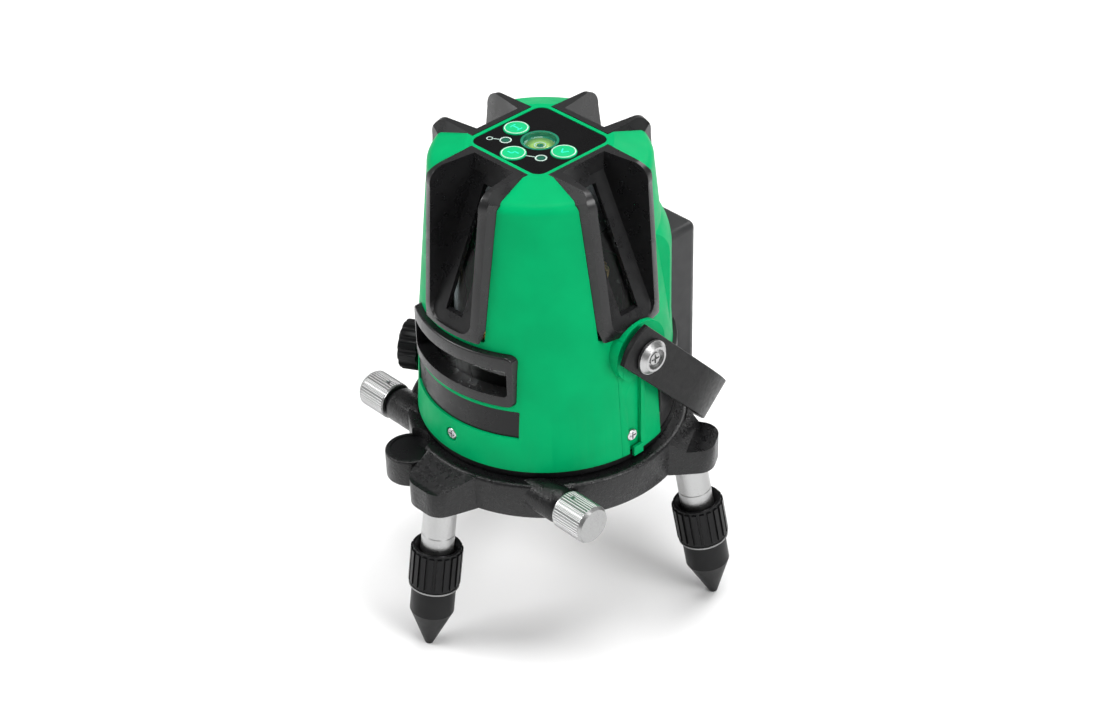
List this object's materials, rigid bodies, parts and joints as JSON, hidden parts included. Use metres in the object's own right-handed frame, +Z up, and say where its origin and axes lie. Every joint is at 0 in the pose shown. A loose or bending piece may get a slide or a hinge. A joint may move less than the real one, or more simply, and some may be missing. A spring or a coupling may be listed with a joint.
{
  "type": "self-levelling laser level on tripod base",
  "caption": "Self-levelling cross-line laser in a tapered green housing, on a black levelling base with splayed adjustable legs and a folding carrying handle.",
  "frame": {"origin": "centre of the mouth of the tripod thread in the underside of the base; the ground under the feet is 70 mm below", "axes": "+Z up along the vertical axis, -Y towards the horizontal window at the front, +X along the handle's pivots"},
  "size_m": [0.1414, 0.1559, 0.2177],
  "materials": {
    "green_shell": "satin",
    "black_moulding": "satin",
    "hood_grey": "satin",
    "battery_grey": "satin",
    "cast_black": "satin",
    "bright_steel": "polished",
    "brushed_steel": "brushed",
    "brass": "satin",
    "anodised": "satin",
    "clear_glass": "polished",
    "board_green": "gloss",
    "copper_disc": "polished",
    "key_green": "gloss",
    "lamp": "gloss",
    "label": "gloss",
    "foot_rubber": "matte",
    "cell_wrap": "gloss"
  },
  "bodies": {
    "base": {"base_casting": "cast_black", "base_plate": "cast_black", "base_plate_screws": "brushed_steel", "tripod_thread_insert": "brass", "boss_cap": "label", "leg_tubes": "bright_steel", "spindle": "brushed_steel", "spindle_nut": "brushed_steel", "tangent_bushes": "brass"},
    "tangent_screw": {"tangent_shaft": "brushed_steel", "tangent_knob_right": "bright_steel", "tangent_knob_left": "bright_steel", "knob_set_screws": "brushed_steel"},
    "housing": {"front_shell": "green_shell", "rear_shell": "green_shell", "hood_front": "hood_grey", "hood_right": "hood_grey", "hood_rear": "hood_grey", "hood_left": "hood_grey", "window_panes": "clear_glass", "horizontal_window_bezel": "black_moulding", "horizontal_window_glass": "clear_glass", "name_plate": "label", "housing_screws": "brushed_steel", "keypad_panel": "label", "indicator_lamps": "lamp", "vial_cup": "bright_steel", "vial_lens": "clear_glass", "battery_case": "battery_grey", "battery_cells": "cell_wrap", "control_board": "board_green", "handle_pivot_screws": "bright_steel", "handle_pivot_washers": "black_moulding", "turntable": "cast_black", "worm_wheel": "brass", "spindle_bush": "brass", "compensator_chassis": "anodised", "damping_magnets": "brushed_steel"},
    "battery_door": {"battery_lid": "battery_grey"},
    "handle": {"carrying_handle": "cast_black"},
    "lock": {"lock_knob": "black_moulding", "lock_shaft": "brushed_steel"},
    "key_left": {"button_left": "key_green"},
    "key_front": {"button_front": "key_green"},
    "key_right": {"button_right": "key_green"},
    "gimbal": {"gimbal_ring": "anodised"},
    "pendulum_body": {"pendulum": "anodised", "laser_modules": "brass", "laser_lenses": "clear_glass", "damping_disc": "copper_disc"},
    "foot_front_body": {"foot_front": "foot_rubber", "foot_washer_front": "brushed_steel"},
    "collar_front_body": {"foot_collar_front": "black_moulding"},
    "foot_right_body": {"foot_right": "foot_rubber", "foot_washer_right": "brushed_steel"},
    "collar_right_body": {"foot_collar_right": "black_moulding"},
    "foot_left_body": {"foot_left": "foot_rubber", "foot_washer_left": "brushed_steel"},
    "collar_left_body": {"foot_collar_left": "black_moulding"}
  },
  "joints": [
    {"name": "housing_turn", "type": "hinge", "parent": "base", "child": "housing", "pos_m": [0, 0, 0.02], "axis": [0, 0, 1], "range_deg": [-1.8, 1.8]},
    {"name": "tangent_screw_turn", "type": "hinge", "parent": "base", "child": "tangent_screw", "pos_m": [0, -0.0403, 0.0133], "axis": [1, 0, 0], "range_deg": [-130, 130]},
    {"name": "handle_swing", "type": "hinge", "parent": "housing", "child": "handle", "pos_m": [0, 0.0008, 0.0717], "axis": [1, 0, 0], "range_deg": [0, 220]},
    {"name": "battery_lid_swing", "type": "hinge", "parent": "housing", "child": "battery_door", "pos_m": [0, 0.06, 0.0332], "axis": [-1, 0, 0], "range_deg": [0, 95]},
    {"name": "lock_turn", "type": "hinge", "parent": "housing", "child": "lock", "pos_m": [-0.04754, -0.02745, 0.0386], "axis": [-0.866, -0.5, 0], "range_deg": [0, 90]},
    {"name": "gimbal_roll", "type": "hinge", "parent": "housing", "child": "gimbal", "pos_m": [0, 0, 0.117], "axis": [1, 0, 0], "range_deg": [-3, 3]},
    {"name": "pendulum_pitch", "type": "hinge", "parent": "gimbal", "child": "pendulum_body", "pos_m": [0, 0, 0.117], "axis": [0, 1, 0], "range_deg": [-3, 3]},
    {"name": "button_left_press", "type": "slide", "parent": "housing", "child": "key_left", "axis": [0, 0, -1], "range_m": [0, 0.0006], "stiffness_N_per_m": 1500},
    {"name": "button_front_press", "type": "slide", "parent": "housing", "child": "key_front", "axis": [0, 0, -1], "range_m": [0, 0.0006], "stiffness_N_per_m": 1500},
    {"name": "button_right_press", "type": "slide", "parent": "housing", "child": "key_right", "axis": [0, 0, -1], "range_m": [0, 0.0006], "stiffness_N_per_m": 1500},
    {"name": "foot_front_extend", "type": "slide", "parent": "base", "child": "foot_front_body", "axis": [0, -0.1633, -0.9866], "range_m": [-0.004, 0.008]},
    {"name": "foot_collar_front_turn", "type": "hinge", "parent": "foot_front_body", "child": "collar_front_body", "pos_m": [0, -0.06717, -0.03054], "axis": [0, -0.1633, -0.9866], "range_deg": [-960, 1920]},
    {"name": "foot_right_extend", "type": "slide", "parent": "base", "child": "foot_right_body", "axis": [0.1414, 0.0817, -0.9866], "range_m": [-0.004, 0.008]},
    {"name": "foot_collar_right_turn", "type": "hinge", "parent": "foot_right_body", "child": "collar_right_body", "pos_m": [0.05817, 0.03358, -0.03054], "axis": [0.1414, 0.0817, -0.9866], "range_deg": [-960, 1920]},
    {"name": "foot_left_extend", "type": "slide", "parent": "base", "child": "foot_left_body", "axis": [-0.1414, 0.0817, -0.9866], "range_m": [-0.004, 0.008]},
    {"name": "foot_collar_left_turn", "type": "hinge", "parent": "foot_left_body", "child": "collar_left_body", "pos_m": [-0.05817, 0.03358, -0.03054], "axis": [-0.1414, 0.0817, -0.9866], "range_deg": [-960, 1920]}
  ],
  "couplings": [
    {"joint": "tangent_screw_turn", "follows": "housing_turn", "ratio": 72},
    {"joint": "foot_collar_front_turn", "follows": "foot_front_extend", "rad_per_m": 4188.8},
    {"joint": "foot_collar_right_turn", "follows": "foot_right_extend", "rad_per_m": 4188.8},
    {"joint": "foot_collar_left_turn", "follows": "foot_left_extend", "rad_per_m": 4188.8}
  ]
}
